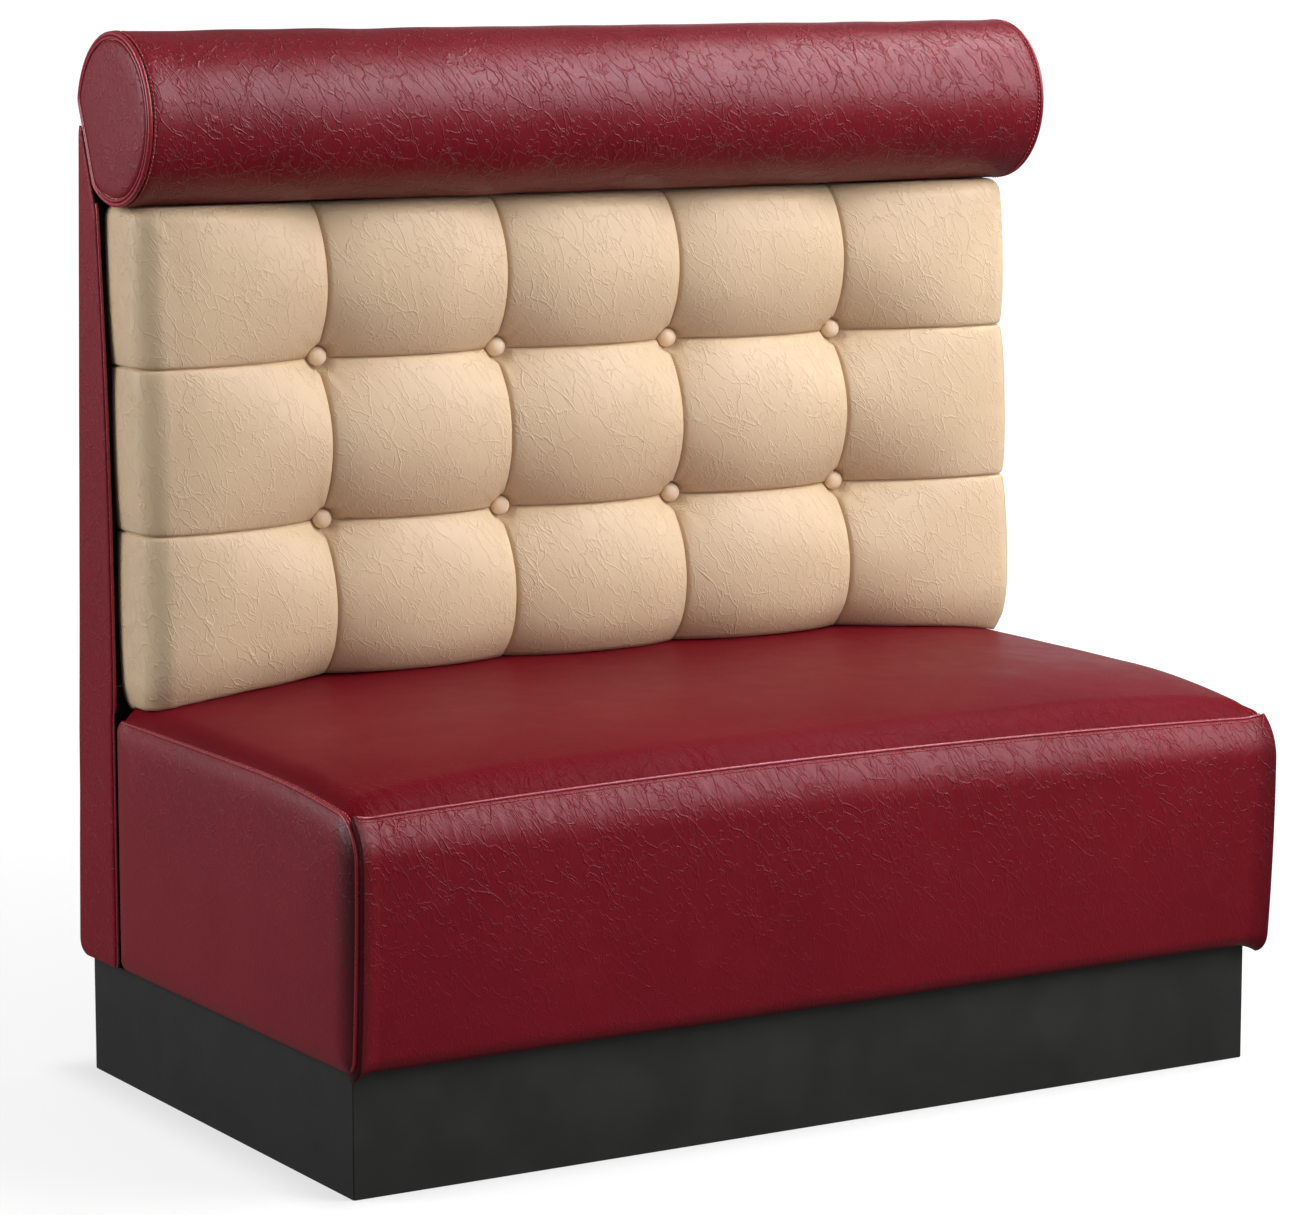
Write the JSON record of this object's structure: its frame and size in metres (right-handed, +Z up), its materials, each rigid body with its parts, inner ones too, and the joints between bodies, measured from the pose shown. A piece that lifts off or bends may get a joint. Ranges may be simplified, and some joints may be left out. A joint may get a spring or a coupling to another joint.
{
  "type": "restaurant booth bench",
  "caption": "Free-standing upholstered booth bench with a crowned seat, a tufted buttoned back cushion, a padded head roll and a recessed plinth.",
  "frame": {"origin": "on the floor, under the middle of the bench's overall box", "axes": "+X along the bench, to the right of a person looking at its front; +Y from the front towards the back; +Z up"},
  "size_m": [1.208, 0.696, 1.2],
  "materials": {
    "burgundy_leatherette": "grained, soft sheen",
    "burgundy_piping": "soft sheen",
    "cream_leatherette": "grained, soft sheen",
    "foam": "open cell, matte",
    "wadding": "matte",
    "charcoal_board": "matte laminate",
    "plywood": "raw, matte",
    "black_board": "matte black lining",
    "zinc_steel": "zinc plated",
    "black_cloth": "woven, matte"
  },
  "bodies": {
    "root": {"seat_top_cover": "burgundy_leatherette", "seat_front_cover": "burgundy_leatherette", "seat_left_cover": "burgundy_leatherette", "seat_right_cover": "burgundy_leatherette", "back_left_cover": "burgundy_leatherette", "back_right_cover": "burgundy_leatherette", "back_rear_cover": "burgundy_leatherette", "roll_cover": "burgundy_leatherette", "roll_end_panels": "burgundy_leatherette", "seat_left_piping": "burgundy_piping", "seat_right_piping": "burgundy_piping", "seat_front_piping": "burgundy_piping", "back_left_piping": "burgundy_piping", "back_right_piping": "burgundy_piping", "roll_end_piping": "burgundy_piping", "cushion_cover": "cream_leatherette", "cushion_buttons": "cream_leatherette", "seat_top_foam": "foam", "seat_front_foam": "foam", "cushion_foam": "foam", "roll_foam": "foam", "seat_left_padding": "wadding", "seat_right_padding": "wadding", "plinth_front_board": "charcoal_board", "plinth_rear_board": "charcoal_board", "plinth_left_board": "charcoal_board", "plinth_right_board": "charcoal_board", "plinth_cross_rails": "plywood", "plinth_corner_blocks": "plywood", "seat_front_panel": "plywood", "seat_rear_panel": "plywood", "seat_left_panel": "plywood", "seat_right_panel": "plywood", "seat_ribs": "plywood", "seat_deck_board": "plywood", "seat_corner_blocks": "plywood", "back_left_upright": "plywood", "back_right_upright": "plywood", "back_centre_upright": "plywood", "back_bottom_rails": "plywood", "back_bolt_rails": "plywood", "back_middle_rails": "plywood", "back_top_rails": "plywood", "back_lower_board": "plywood", "back_head_board": "plywood", "back_rear_board": "plywood", "cushion_board": "plywood", "roll_board": "plywood", "roll_end_boards": "plywood", "back_face_board": "black_board", "plinth_screws": "zinc_steel", "back_bolts": "zinc_steel", "back_bolt_washers": "zinc_steel", "back_tee_nuts": "zinc_steel", "button_washers": "zinc_steel", "cushion_screws": "zinc_steel", "roll_bolts": "zinc_steel", "roll_tee_nuts": "zinc_steel", "seat_dust_cover": "black_cloth", "button_ties": "black_cloth"}
  },
  "joints": []
}
